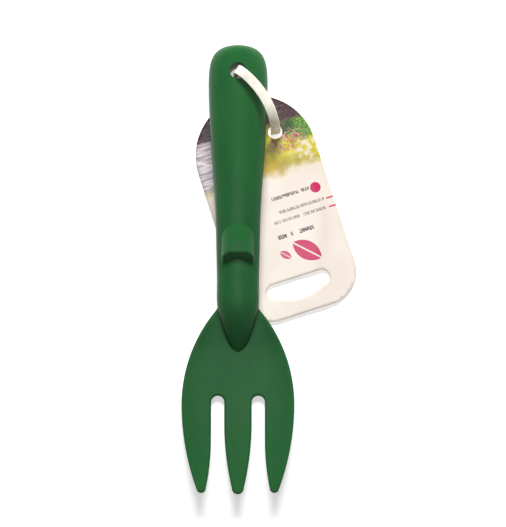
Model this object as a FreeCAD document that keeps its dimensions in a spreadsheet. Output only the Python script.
import FreeCAD, Part
import math
import os

import Sketcher

# Hand fork (small three-tine hand cultivator) with its strap loop and hang tag, in millimetres.
# The tool lies on its back on the plane Z = 0, thumb side up. +Y points to the butt of the
# handle, -Y to the tine tips. The origin is on the flat patch of the blade's back, on the
# centreline. Every driving size is a cell of the sheet "dims", and the sketches are bound to it.

DOC = FreeCAD.newDocument("hand_fork")
START, END, CENTRE = 1, 2, 3
HALF, HALF_IN = "half circle out", "half circle in"
FIT = 0.001          # how near two places are to count as the same
HANDLE_ARCH = ("dims.arch_rise", "dims.corner_share")
THUMB_ARCH = ("dims.thumb_rise", "dims.thumb_corner")
TAG_SPAN = "sqrt(dims.tag_x^2 + (dims.hang_y - dims.tag_y)^2)"    # between the strap's two holes
STRAP_SPAN = "(%s + dims.strap_lean)" % TAG_SPAN

# Handle stations from the hidden tip of the tongue to the butt: place along Y, half width and
# crown height. Between Y 36 and the tip the neck noses down into the blade.
HANDLE = [
    (9.0, 1.6, 1.6),
    (13.0, 4.1, 4.5),
    (19.0, 6.5, 8.1),
    (27.0, 8.9, 12.1),
    (36.0, 11.0, 15.0),
    (47.0, 11.2, 15.7),
    (62.0, 11.5, 16.0),
    (84.0, 12.0, 17.6),
    (108.0, 13.5, 18.4),
    (132.0, 15.1, 18.8),
    (152.0, 15.9, 18.8),
    (162.0, 15.8, 18.6),
    (168.0, 14.8, 18.1),
    (172.5, 12.4, 17.1),
    (175.2, 8.7, 15.2),
    (176.2, 4.8, 13.4),
]

# Blade stations from the neck to the tips: place along Y, half width of the blank, height of the
# back and thickness. The outline is cut from this blank afterwards.
BLADE = [
    (46.0, 12.4, 2.6, 3.2),
    (37.0, 12.6, 2.5, 3.2),
    (28.0, 18.0, 2.1, 3.3),
    (16.0, 24.6, 0.4, 3.5),
    (2.0, 29.6, -0.4, 3.6),
    (-13.0, 31.8, -0.1, 3.6),
    (-30.0, 31.2, 1.5, 3.5),
    (-48.0, 27.8, 5.0, 3.2),
    (-68.0, 20.5, 10.8, 2.6),
]

RIB_COUNT = 6

CELLS = {
    # handle
    "arch_rise": 0.66,         # height of the rounded crown over the half width
    "corner_share": 0.40,      # radius of the crown's corners over the half width
    "handle_rim": 2.0,         # height of the handle's open back above the rest plane
    "wall": 2.4,               # wall of the moulding
    "rib": 1.8,                # thickness of the stiffening ribs
    "first_rib": 46.0,
    "rib_pitch": 20.0,
    "rib_recess": 1.2,         # how far the ribs stay inside the open back
    "hang_y": 161.2,           # hang hole, centre
    "hang_hole": 9.0,          # hang hole, diameter
    "boss": 14.0,              # boss round the hang hole, diameter
    # thumb rest
    "thumb_half": 8.7,
    "thumb_rise": 0.70,        # height of the hump's domed top over its half width
    "thumb_corner": 0.40,      # radius of the dome's corners over the half width
    "thumb_foot": 6.0,         # height of the hump's foot inside the handle
    "thumb_end": 88.0,         # where the ramp is well inside the handle
    "thumb_front": 50.0,       # where the hump's blank ends, inside the handle as well
    "ramp_y": 78.4,            # where the ramp rises out of the crown
    "ramp_z": 17.35,
    "ramp_angle": 14.0,        # the ramp's slope, in degrees
    "crest_z": 19.7,           # level top of the hump
    "brow_y": 63.1,            # where the crest and the front would meet in a sharp brow
    "front_angle": 52.0,       # the front's slope
    "brow_round": 2.4,
    "thumb_round": 0.9,        # radius between the dome and the cuts through it
    # blade
    "flat_share": 0.42,        # flat middle of the dish over the blank's half width
    "dish_share": 0.085,       # rise of the dish's edge over the blank's half width
    "shoulder_x": 11.1,
    "shoulder_y": 34.5,
    "belly_x": 30.0,
    "belly_y": -16.5,
    "shoulder_radius": 77.0,
    "side_radius": 128.0,
    "outer_tip_x": 19.2,
    "outer_tip_y": -60.3,
    "outer_tip_radius": 2.5,
    "tip_leave_angle": 16.3,   # where the outer side runs into the tip's round, below its centre
    "tip_meet_angle": 23.1,    # where the gap's side runs into it
    "gap_inner": 7.3,          # a tine gap's side next to the middle tine
    "gap_outer": 14.3,         # a tine gap's side next to the outer tine
    "gap_root": -15.2,
    "gap_taper": -35.5,        # where the tines start to narrow
    "taper_radius": 124.0,
    "mid_taper": -27.5,
    "mid_tip_half": 3.2,
    "mid_tip_y": -60.3,
    "mid_radius": 148.0,
    "edge_round": 1.1,
    "tang_x": 9.4,             # the blade's end inside the neck
    "tang_y": 43.0,
    "blank_height": 30.0,
    "reach": 90.0,             # more than the tool reaches to either side
    "below": 12.0,             # how far the handle's blank reaches below the rest plane
    # tag
    "tag_x": 20.0,
    "tag_y": 131.0,
    "tag_angle": 17.8,
    "tag_under": 1.1,
    "tag_thick": 0.5,
    "tag_axis": -13.7,
    "tag_arch_y": -9.2,
    "tag_half": 32.9,
    "tag_bottom": -98.5,
    "tag_corner": 18.5,
    "tag_hole": 7.8,
    "euro_y": -83.2,
    "euro_half": 17.4,
    "euro_end": 4.2,
    "euro_notch": 12.6,         # half width of the shallow notch in the slot's outer edge
    "notch_radius": 27.2,
    # strap
    "strap_width": 5.2,
    "strap_thick": 0.8,
    "strap_bend": 4.0,
    "strap_top": 21.6,
    "strap_arch": 14.0,
    "strap_bow": 50.0,
    "strap_lean": 1.4,         # from the tag's hole to the strap's upright run
    "strap_set": 0.8,          # how far its other upright run sits beyond the hang hole's centre
}


def add_cells(sheet, cells):
    """Write each dimension to the sheet with its name beside it, and alias the cell."""
    for row, (alias, value) in enumerate(cells.items(), start=1):
        sheet.set("A%d" % row, alias)
        sheet.set("B%d" % row, str(value))
        sheet.setAlias("B%d" % row, alias)


def all_cells():
    """The named dimensions and the station tables, one alias for each number."""
    cells = dict(CELLS)
    for index, (place, half, crown) in enumerate(HANDLE):
        cells["handle_y_%02d" % index] = place
        cells["handle_half_%02d" % index] = half
        cells["handle_crown_%02d" % index] = crown
    for index, (place, half, back, thick) in enumerate(BLADE):
        cells["blade_y_%02d" % index] = place
        cells["blade_half_%02d" % index] = half
        cells["blade_back_%02d" % index] = back
        cells["blade_thick_%02d" % index] = thick
    return cells


def body(name):
    return DOC.addObject("PartDesign::Body", name)


def sketch(owner, name, role, offset=None):
    """A sketch on one of the body's own origin planes, moved along its normal by offset."""
    new = owner.newObject("Sketcher::SketchObject", name)
    plane = [item for item in owner.Origin.OriginFeatures if item.Role == role][0]
    new.AttachmentSupport = [(plane, "")]
    new.MapMode = "FlatFace"
    if offset is not None:
        new.setExpression("AttachmentOffset.Base.z", offset)
    return new


def fix(owner, kind, expression, *where):
    """Add a dimension to a sketch and bind it to an expression of the sheet."""
    value = float(owner.evalExpression(expression))
    number = owner.addConstraint(Sketcher.Constraint(kind, *where, value))
    owner.setExpression("Constraints[%d]" % number, expression)


def vertex(owner, spot):
    return FreeCAD.Vector(*(float(owner.evalExpression(text)) for text in spot), 0)


def arc_between(first, last, radius):
    """The shorter arc from first to last, and whether it is stored the other way round. A
    positive radius bulges to the right of the way. Sketches keep arcs counter-clockwise."""
    chord = last - first
    side = FreeCAD.Vector(-chord.y, chord.x, 0).normalize()
    flipped = radius < 0
    if flipped:
        side = -side
    size = abs(radius)
    reach = math.sqrt(max(size * size - chord.Length ** 2 / 4, 0))
    centre = (first + last) * 0.5 + side * reach
    begin, finish = (last, first) if flipped else (first, last)
    start_angle = math.atan2(begin.y - centre.y, begin.x - centre.x)
    end_angle = math.atan2(finish.y - centre.y, finish.x - centre.x)
    if end_angle < start_angle:
        end_angle += 2 * math.pi
    circle = Part.Circle(centre, FreeCAD.Vector(0, 0, 1), size)
    return Part.ArcOfCircle(circle, start_angle, end_angle), flipped


def outline(owner, steps):
    """A closed profile. Each step is a corner (x, y) and the radius of the arc that leaves it,
    HALF or HALF_IN for a half circle that bulges out or in, or None for a straight line. The
    numbers are expressions."""
    spots = [vertex(owner, step[:2]) for step in steps]
    made = []
    ends = []
    for index, step in enumerate(steps):
        first = spots[index]
        last = spots[(index + 1) % len(spots)]
        flipped = False
        if step[2] is None:
            shape = Part.LineSegment(first, last)
        elif step[2] in (HALF, HALF_IN):
            half = (last - first).Length / 2
            shape, flipped = arc_between(first, last, half if step[2] == HALF else -half)
        else:
            shape, flipped = arc_between(first, last, float(owner.evalExpression(step[2])))
        made.append(owner.addGeometry(shape))
        ends.append((END, START) if flipped else (START, END))
    for index, step in enumerate(steps):
        after = (index + 1) % len(steps)
        owner.addConstraint(Sketcher.Constraint(
            "Coincident", made[index], ends[index][1], made[after], ends[after][0]))
        fix(owner, "DistanceX", step[0], made[index], ends[index][0])
        fix(owner, "DistanceY", step[1], made[index], ends[index][0])
        if step[2] in (HALF, HALF_IN):
            owner.addConstraint(Sketcher.Constraint(
                "Symmetric", made[index], START, made[index], END, made[index], CENTRE))
        elif step[2] is not None:
            fix(owner, "Radius", "abs(%s)" % step[2], made[index])


def arch_section(owner, half, crown, low, rise_share, corner_share):
    """An arched section: flat foot at low, upright sides, two corner arcs and a crown arc."""
    width = "(%s)" % half
    top = "(%s)" % crown
    rise = "(%s * %s)" % (width, rise_share)
    corner = "(%s * %s)" % (width, corner_share)
    side = "(%s - %s)" % (top, rise)
    flat = "(%s - %s)" % (width, corner)
    arch = "((%s^2 + %s^2 - %s^2) / (2 * (%s - %s)))" % (flat, rise, corner, rise, corner)
    touch_x = "(%s * %s / (%s - %s))" % (flat, arch, arch, corner)
    drop = "(%s - %s)" % (arch, rise)
    touch_y = "(%s - %s + %s * %s / (%s - %s))" % (top, arch, drop, arch, arch, corner)
    outline(owner, [
        ("-" + width, low, None),
        (width, low, None),
        (width, side, corner),
        (touch_x, touch_y, arch),
        ("0", top, arch),
        ("-" + touch_x, touch_y, corner),
        ("-" + width, side, None),
    ])


def dish_section(owner, half, back, thick):
    """A blade section: flat middle, both edges swept up along arcs, even thickness."""
    flat = "(%s * dims.flat_share)" % half
    rise = "(%s * dims.dish_share)" % half
    sweep = "(((%s - %s)^2 + %s^2) / (2 * %s))" % (half, flat, rise, rise)
    front = "(%s + %s)" % (back, thick)
    outline(owner, [
        ("-" + flat, back, None),
        (flat, back, sweep),
        (half, "%s + %s" % (back, rise), None),
        (half, "%s + %s" % (front, rise), "-" + sweep),
        (flat, front, None),
        ("-" + flat, front, "-" + sweep),
        ("-" + half, "%s + %s" % (front, rise), None),
        ("-" + half, "%s + %s" % (back, rise), sweep),
    ])


def loft(owner, name, sections):
    new = owner.newObject("PartDesign::AdditiveLoft", name)
    new.Profile = sections[0]
    new.Sections = sections[1:]
    new.Ruled = False
    DOC.recompute()
    return new


def pad(owner, name, profile, length, middle=False):
    new = owner.newObject("PartDesign::Pad", name)
    new.Profile = profile
    new.setExpression("Length", length)
    new.SideType = 2 if middle else 0
    DOC.recompute()
    return new


def boolean(kind, name, base, tool):
    new = DOC.addObject("Part::" + kind, name)
    new.Base = base
    new.Tool = tool
    DOC.recompute()
    return new


def fuse_all(name, shapes):
    new = DOC.addObject("Part::MultiFuse", name)
    new.Shapes = shapes
    DOC.recompute()
    return new


def block(name, low, size):
    """A box between bound corners: low and size are expressions for X, Y and Z."""
    new = DOC.addObject("Part::Box", name)
    for axis, expression in zip("xyz", low):
        new.setExpression("Placement.Base." + axis, expression)
    for side, expression in zip(("Length", "Width", "Height"), size):
        new.setExpression(side, expression)
    return new


def cylinder(name, diameter, place_y, low, height):
    new = DOC.addObject("Part::Cylinder", name)
    new.setExpression("Radius", "%s / 2" % diameter)
    new.setExpression("Height", height)
    new.setExpression("Placement.Base.y", place_y)
    new.setExpression("Placement.Base.z", low)
    return new


def arched_body(name, stations, table, low, shares, inset="0"):
    """A body lofted through the arched sections of a table, set in by inset."""
    owner = body(name)
    sections = []
    for index in stations:
        place = sketch(owner, "%s%02d" % (name, index), "XZ_Plane", "-dims.%s_y_%02d" % (table, index))
        half = "dims.%s_half_%02d - %s" % (table, index, inset)
        crown = "dims.%s_crown_%02d - %s" % (table, index, inset)
        arch_section(place, half, crown, low, *shares)
        sections.append(place)
    loft(owner, name + "Loft", sections)
    return owner


def blade_blank():
    owner = body("BladeBlank")
    sections = []
    for index in range(len(BLADE)):
        tag = "%02d" % index
        place = sketch(owner, "BladeAt" + tag, "XZ_Plane", "-dims.blade_y_" + tag)
        dish_section(place, "dims.blade_half_" + tag, "dims.blade_back_" + tag,
                     "dims.blade_thick_" + tag)
        sections.append(place)
    loft(owner, "BladeLoft", sections)
    return owner


def mirrored(steps):
    """The same corners on the other side, in the order that carries the outline on round."""
    other = []
    for index, (across, along, radius) in enumerate(steps):
        before = steps[index - 1][2] if index else None
        other.append((across.replace("-", "", 1), along, before))
    return other[::-1]


def blade_outline():
    """The blade in plan with its three tines, as a prism taller than the blank."""
    owner = body("BladeOutline")
    plan = sketch(owner, "BladePlan", "XY_Plane", "-dims.below")
    tip = "dims.outer_tip_radius"
    left = [
        ("-dims.tang_x", "dims.tang_y", None),
        ("-dims.shoulder_x", "dims.shoulder_y", "dims.shoulder_radius"),
        ("-dims.belly_x", "dims.belly_y", "dims.side_radius"),
        ("-(dims.outer_tip_x + %s * cos(dims.tip_leave_angle))" % tip,
         "dims.outer_tip_y - %s * sin(dims.tip_leave_angle)" % tip, tip),
        ("-(dims.outer_tip_x - %s * cos(dims.tip_meet_angle))" % tip,
         "dims.outer_tip_y - %s * sin(dims.tip_meet_angle)" % tip, "dims.taper_radius"),
        ("-dims.gap_outer", "dims.gap_taper", None),
        ("-dims.gap_outer", "dims.gap_root", HALF_IN),
        ("-dims.gap_inner", "dims.gap_root", None),
        ("-dims.gap_inner", "dims.mid_taper", "dims.mid_radius"),
        ("-dims.mid_tip_half", "dims.mid_tip_y", HALF),
    ]
    right = mirrored(left)
    outline(plan, left + right)
    pad(owner, "BladePrism", plan, "dims.blank_height")
    return owner


def number(expression):
    return float(DOC.getObject("dims").evalExpression(expression))


def round_part(name, base, picked, radius):
    """A Part fillet of one radius on the picked edge numbers of base."""
    new = DOC.addObject("Part::Fillet", name)
    new.Base = base
    new.Edges = [(edge, radius, radius) for edge in picked]
    DOC.recompute()
    return new


def is_upright(face):
    """True for a wall: a face whose middle points sideways."""
    low_u, high_u, low_v, high_v = face.ParameterRange
    return abs(face.normalAt((low_u + high_u) / 2, (low_v + high_v) / 2).z) < 0.1


def rim_edges(shape, end_y):
    """Edges between an upright wall and the dished front or back, short of end_y."""
    walls = [edge for face in shape.Faces if is_upright(face) for edge in face.Edges]
    skins = [edge for face in shape.Faces if not is_upright(face) for edge in face.Edges]
    picked = []
    for index, edge in enumerate(shape.Edges, start=1):
        on_wall = any(edge.isSame(other) for other in walls)
        on_skin = any(edge.isSame(other) for other in skins)
        if on_wall and on_skin and edge.BoundBox.YMin < end_y:
            picked.append(index)
    return picked


def make_blade():
    """The dished blade, cut to its outline and rounded along both rims."""
    cut = boolean("Common", "BladeCut", blade_blank(), blade_outline())
    picked = rim_edges(cut.Shape, number("dims.shoulder_y - 0.5"))
    return round_part("Blade", cut, picked, number("dims.edge_round"))


def make_handle():
    """The handle's outside, cut off level at the rim of its open back."""
    skin = arched_body("HandleSkin", range(len(HANDLE)), "handle", "-dims.below", HANDLE_ARCH)
    above = block("AboveRim", ("-dims.reach", "-dims.reach", "dims.handle_rim"),
                  ("2 * dims.reach", "3 * dims.reach", "dims.reach"))
    return boolean("Common", "Handle", skin, above)


def thumb_hump():
    """The blank of the thumb rest: a domed ramp that rises towards the blade."""
    owner = body("ThumbHump")
    sections = []
    for name, place in (("Start", "dims.thumb_end"), ("Front", "dims.thumb_front")):
        across = sketch(owner, "Thumb" + name, "XZ_Plane", "-" + place)
        top = "dims.ramp_z + (dims.ramp_y - %s) * tan(dims.ramp_angle)" % place
        arch_section(across, "dims.thumb_half", top, "dims.thumb_foot", *THUMB_ARCH)
        sections.append(across)
    loft(owner, "ThumbLoft", sections)
    return owner


def thumb_side():
    """What the hump keeps, seen from its side: a level crest, a round brow and a steep front."""
    owner = body("ThumbSide")
    side = sketch(owner, "ThumbProfile", "YZ_Plane")
    reach = "(dims.brow_round * tan(dims.front_angle / 2))"
    front_run = "(dims.crest_z - dims.thumb_foot) / tan(dims.front_angle)"
    outline(side, [
        ("dims.thumb_end", "dims.thumb_foot", None),
        ("dims.thumb_end", "dims.crest_z", None),
        ("dims.brow_y + " + reach, "dims.crest_z", "dims.brow_round"),
        ("dims.brow_y - %s * cos(dims.front_angle)" % reach,
         "dims.crest_z - %s * sin(dims.front_angle)" % reach, None),
        ("dims.brow_y - " + front_run, "dims.thumb_foot", None),
    ])
    pad(owner, "ThumbPad", side, "3 * dims.thumb_half", middle=True)
    return owner


def make_thumb_rest():
    """The hump cut by its side profile, with the crest's edge rounded."""
    cut = boolean("Common", "ThumbCut", thumb_hump(), thumb_side())
    crest = number("dims.crest_z")
    brow = number("dims.brow_y + dims.brow_round * tan(dims.front_angle / 2)")
    picked = []
    for index, edge in enumerate(cut.Shape.Edges, start=1):
        box = edge.BoundBox
        level = abs(box.ZMin - crest) < FIT and abs(box.ZMax - crest) < FIT
        if level and box.YMax > brow + FIT:
            picked.append(index)
    return round_part("ThumbRest", cut, picked, number("dims.thumb_round"))


def make_cells():
    """The hollows of the open back: the inner skin less its ribs and the hang hole's boss."""
    inner = arched_body("InnerSkin", range(3, len(HANDLE) - 3), "handle", "-dims.below",
                        HANDLE_ARCH, "dims.wall")
    low = "dims.handle_rim + dims.rib_recess"
    ribs = []
    for index in range(RIB_COUNT):
        place = "dims.first_rib + %d * dims.rib_pitch - dims.rib / 2" % index
        ribs.append(block("CrossRib%d" % index, ("-dims.reach", place, low),
                          ("2 * dims.reach", "dims.rib", "dims.reach")))
    boss = cylinder("HangBoss", "dims.boss", "dims.hang_y", "dims.handle_rim", "dims.reach")
    return boolean("Cut", "Cells", inner, fuse_all("Stiffeners", ribs + [boss]))


def make_fork():
    whole = fuse_all("ForkSolid", [make_handle(), make_blade(), make_thumb_rest()])
    hollowed = boolean("Cut", "ForkHollowed", whole, make_cells())
    hole = cylinder("HangHole", "dims.hang_hole", "dims.hang_y", "-dims.reach", "2 * dims.reach")
    holed = boolean("Cut", "ForkHoled", hollowed, hole)
    above = block("AboveRest", ("-dims.reach", "-dims.reach", "0"),
                  ("2 * dims.reach", "3 * dims.reach", "dims.reach"))
    fork = boolean("Common", "Fork", holed, above)
    fork.Label = "fork_body"
    return fork


def make_tag():
    """The hang tag: arched end, strap hole at the body's own origin, euro hanging slot."""
    owner = body("Tag")
    plan = sketch(owner, "TagPlan", "XY_Plane")
    left, right = "dims.tag_axis - dims.tag_half", "dims.tag_axis + dims.tag_half"
    outline(plan, [
        (right, "dims.tag_arch_y", HALF),
        (left, "dims.tag_arch_y", None),
        (left, "dims.tag_bottom + dims.tag_corner", "dims.tag_corner"),
        (left + " + dims.tag_corner", "dims.tag_bottom", None),
        (right + " - dims.tag_corner", "dims.tag_bottom", "dims.tag_corner"),
        (right, "dims.tag_bottom + dims.tag_corner", None),
    ])
    hole = plan.addGeometry(Part.Circle(FreeCAD.Vector(0, 0, 0), FreeCAD.Vector(0, 0, 1), 1))
    plan.addConstraint(Sketcher.Constraint("Coincident", hole, CENTRE, -1, START))
    fix(plan, "Radius", "dims.tag_hole / 2", hole)
    run = "(dims.euro_half - dims.euro_end)"
    outline(plan, [
        ("dims.tag_axis - " + run, "dims.euro_y - dims.euro_end", None),
        ("dims.tag_axis - dims.euro_notch", "dims.euro_y - dims.euro_end", "dims.notch_radius"),
        ("dims.tag_axis + dims.euro_notch", "dims.euro_y - dims.euro_end", None),
        ("dims.tag_axis + " + run, "dims.euro_y - dims.euro_end", HALF),
        ("dims.tag_axis + " + run, "dims.euro_y + dims.euro_end", None),
        ("dims.tag_axis - " + run, "dims.euro_y + dims.euro_end", HALF),
    ])
    pad(owner, "TagPad", plan, "dims.tag_thick")
    owner.Label = "hang_tag"
    owner.setExpression("Placement.Base.x", "dims.tag_x")
    owner.setExpression("Placement.Base.y", "dims.tag_y")
    owner.setExpression("Placement.Base.z", "dims.tag_under")
    owner.Placement.Rotation = FreeCAD.Rotation(FreeCAD.Vector(0, 0, 1), number("dims.tag_angle"))
    return owner


def strap_ring():
    """The strap seen from its side: a closed band with a wide arch over the handle. Its local
    X runs from the hang hole to the tag's hole, Z is up and 0 is the rest plane."""
    owner = body("StrapRing")
    side = sketch(owner, "StrapSide", "XZ_Plane")
    for inset in ("0", "dims.strap_thick"):
        left = "(%s - dims.strap_thick / 2 - dims.strap_set)" % inset
        right = "(%s + dims.strap_thick / 2 - %s)" % (STRAP_SPAN, inset)
        top = "(dims.strap_top + dims.strap_thick / 2 - %s)" % inset
        bend = "(dims.strap_bend + dims.strap_thick / 2 - %s)" % inset
        arch = "(dims.strap_arch + dims.strap_thick / 2 - %s)" % inset
        outline(side, [
            ("%s + %s" % (left, bend), inset, None),
            ("%s - %s" % (right, bend), inset, bend),
            (right, "%s + %s" % (inset, bend), None),
            (right, "%s - %s" % (top, arch), arch),
            ("%s - %s" % (right, arch), top, None),
            ("%s + %s" % (left, bend), top, bend),
            (left, "%s - %s" % (top, bend), None),
            (left, "%s + %s" % (inset, bend), bend),
        ])
    pad(owner, "StrapPad", side, "4 * dims.strap_width", middle=True)
    return owner


def strap_plan():
    """The strap seen from above: a strip of even width that bows outwards between its holes."""
    owner = body("StrapPlan")
    plan = sketch(owner, "StrapStrip", "XY_Plane", "-dims.below")
    middle = "(%s / 2)" % TAG_SPAN
    reach = "(%s + dims.strap_width)" % middle
    drop = "sqrt(dims.strap_bow^2 - %s^2)" % middle
    inner = "(dims.strap_bow - dims.strap_width / 2)"
    outer = "(dims.strap_bow + dims.strap_width / 2)"
    inner_y = "sqrt(%s^2 - %s^2) - %s" % (inner, reach, drop)
    outer_y = "sqrt(%s^2 - %s^2) - %s" % (outer, reach, drop)
    left, right = "%s - %s" % (middle, reach), "%s + %s" % (middle, reach)
    outline(plan, [
        (left, inner_y, "-" + inner),
        (right, inner_y, None),
        (right, outer_y, outer),
        (left, outer_y, None),
    ])
    pad(owner, "StrapStripPad", plan, "5 * dims.below")
    return owner


def make_strap():
    strap = boolean("Common", "Strap", strap_ring(), strap_plan())
    strap.Label = "tag_loop"
    across, along = number("dims.tag_x"), number("dims.tag_y - dims.hang_y")
    turn = math.degrees(math.atan2(along, across))
    strap.Placement = FreeCAD.Placement(
        FreeCAD.Vector(0, number("dims.hang_y"), 0), FreeCAD.Rotation(FreeCAD.Vector(0, 0, 1), turn))
    DOC.recompute()
    return strap


def check_document():
    """Stop if any object of the document failed to compute."""
    for item in DOC.Objects:
        if "Invalid" in item.State or "Error" in item.State:
            raise RuntimeError("%s did not compute" % item.Name)


def export(piece):
    shape = piece.Shape
    if shape.isNull() or not shape.isValid() or len(shape.Solids) != 1:
        raise RuntimeError("%s is not one valid solid" % piece.Label)
    shape.exportStep("parts/%s.step" % piece.Label)
    print(piece.Label, round(shape.Volume, 1), shape.BoundBox)


def main():
    os.makedirs("parts", exist_ok=True)
    add_cells(DOC.addObject("Spreadsheet::Sheet", "dims"), all_cells())
    DOC.recompute()
    pieces = [make_fork(), make_strap(), make_tag()]
    DOC.recompute()
    check_document()
    for piece in pieces:
        export(piece)


main()
